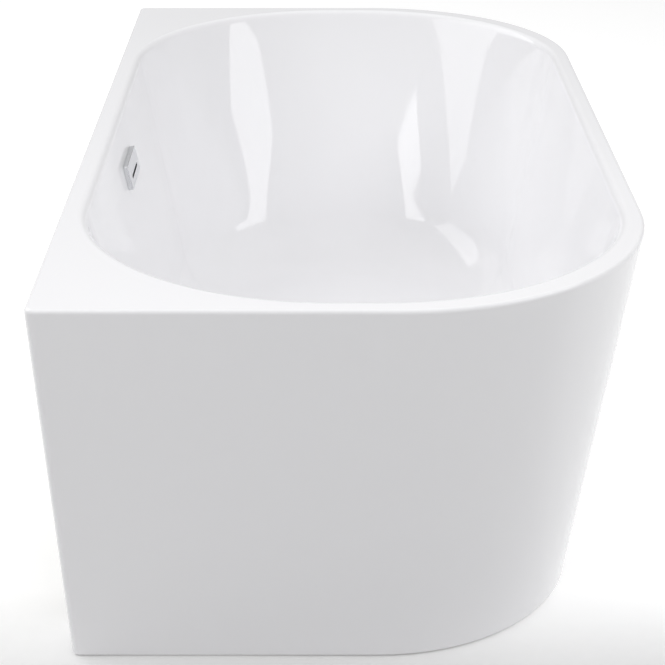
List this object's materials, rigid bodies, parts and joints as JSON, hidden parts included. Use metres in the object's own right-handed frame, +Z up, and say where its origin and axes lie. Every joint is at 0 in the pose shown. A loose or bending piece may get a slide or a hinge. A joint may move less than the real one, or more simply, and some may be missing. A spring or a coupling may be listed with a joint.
{
  "type": "freestanding bathtub",
  "caption": "Back-to-wall freestanding bathtub: acrylic tub with a flat rim, one-piece tapered skirt, click-clack waste, overflow, steel frame and levelling feet.",
  "frame": {"origin": "on the ground, under the middle of the rim's outline", "axes": "+X along the length, +Y towards the wall side, +Z up"},
  "size_m": [1.5, 0.8, 0.55],
  "materials": {
    "acrylic": "gloss",
    "board": "raw",
    "frame_paint": "satin",
    "zinc": "satin",
    "black_plastic": "matte",
    "rubber": "matte",
    "white_plastic": "matte",
    "grey_plastic": "matte",
    "chrome": "polished"
  },
  "bodies": {
    "tub": {"bath_shell": "acrylic", "outer_skirt": "acrylic", "base_board": "board", "rail_front": "frame_paint", "rail_back": "frame_paint", "end_cross_left": "frame_paint", "end_cross_right": "frame_paint", "mid_cross_left": "frame_paint", "mid_cross_right": "frame_paint", "back_post_left": "frame_paint", "back_post_right": "frame_paint", "rim_batten": "board", "batten_front": "board", "batten_end_left": "board", "batten_end_right": "board", "skirt_plates": "zinc", "plate_screws": "zinc", "board_screws": "zinc", "tube_caps": "black_plastic", "foot_inserts": "zinc", "lock_nuts": "zinc", "waste_flange": "chrome", "waste_seal_upper": "rubber", "waste_seal_lower": "rubber", "waste_body": "white_plastic", "plug_cartridge": "black_plastic", "outlet_pipe": "white_plastic", "outlet_nut": "white_plastic", "overflow_cover": "chrome", "overflow_faceplate": "zinc", "overflow_screws": "zinc", "overflow_gasket": "rubber", "overflow_body": "white_plastic", "overflow_hose": "white_plastic", "hose_nut_upper": "grey_plastic", "hose_nut_lower": "grey_plastic"},
    "plug": {"plug_cap": "chrome", "plug_stem": "zinc", "plug_seal": "rubber"},
    "foot_1": {"foot_pad_1": "black_plastic", "foot_stud_1": "zinc"},
    "foot_2": {"foot_pad_2": "black_plastic", "foot_stud_2": "zinc"},
    "foot_3": {"foot_pad_3": "black_plastic", "foot_stud_3": "zinc"},
    "foot_4": {"foot_pad_4": "black_plastic", "foot_stud_4": "zinc"},
    "foot_5": {"foot_pad_5": "black_plastic", "foot_stud_5": "zinc"},
    "foot_6": {"foot_pad_6": "black_plastic", "foot_stud_6": "zinc"}
  },
  "joints": [
    {"name": "plug_click", "type": "slide", "parent": "tub", "child": "plug", "axis": [0, 0, 1], "range_m": [0, 0.01]},
    {"name": "foot_1_level", "type": "slide", "parent": "tub", "child": "foot_1", "axis": [0, 0, -1], "range_m": [-0.003, 0.01]},
    {"name": "foot_2_level", "type": "slide", "parent": "tub", "child": "foot_2", "axis": [0, 0, -1], "range_m": [-0.003, 0.01]},
    {"name": "foot_3_level", "type": "slide", "parent": "tub", "child": "foot_3", "axis": [0, 0, -1], "range_m": [-0.003, 0.01]},
    {"name": "foot_4_level", "type": "slide", "parent": "tub", "child": "foot_4", "axis": [0, 0, -1], "range_m": [-0.003, 0.01]},
    {"name": "foot_5_level", "type": "slide", "parent": "tub", "child": "foot_5", "axis": [0, 0, -1], "range_m": [-0.003, 0.01]},
    {"name": "foot_6_level", "type": "slide", "parent": "tub", "child": "foot_6", "axis": [0, 0, -1], "range_m": [-0.003, 0.01]}
  ]
}
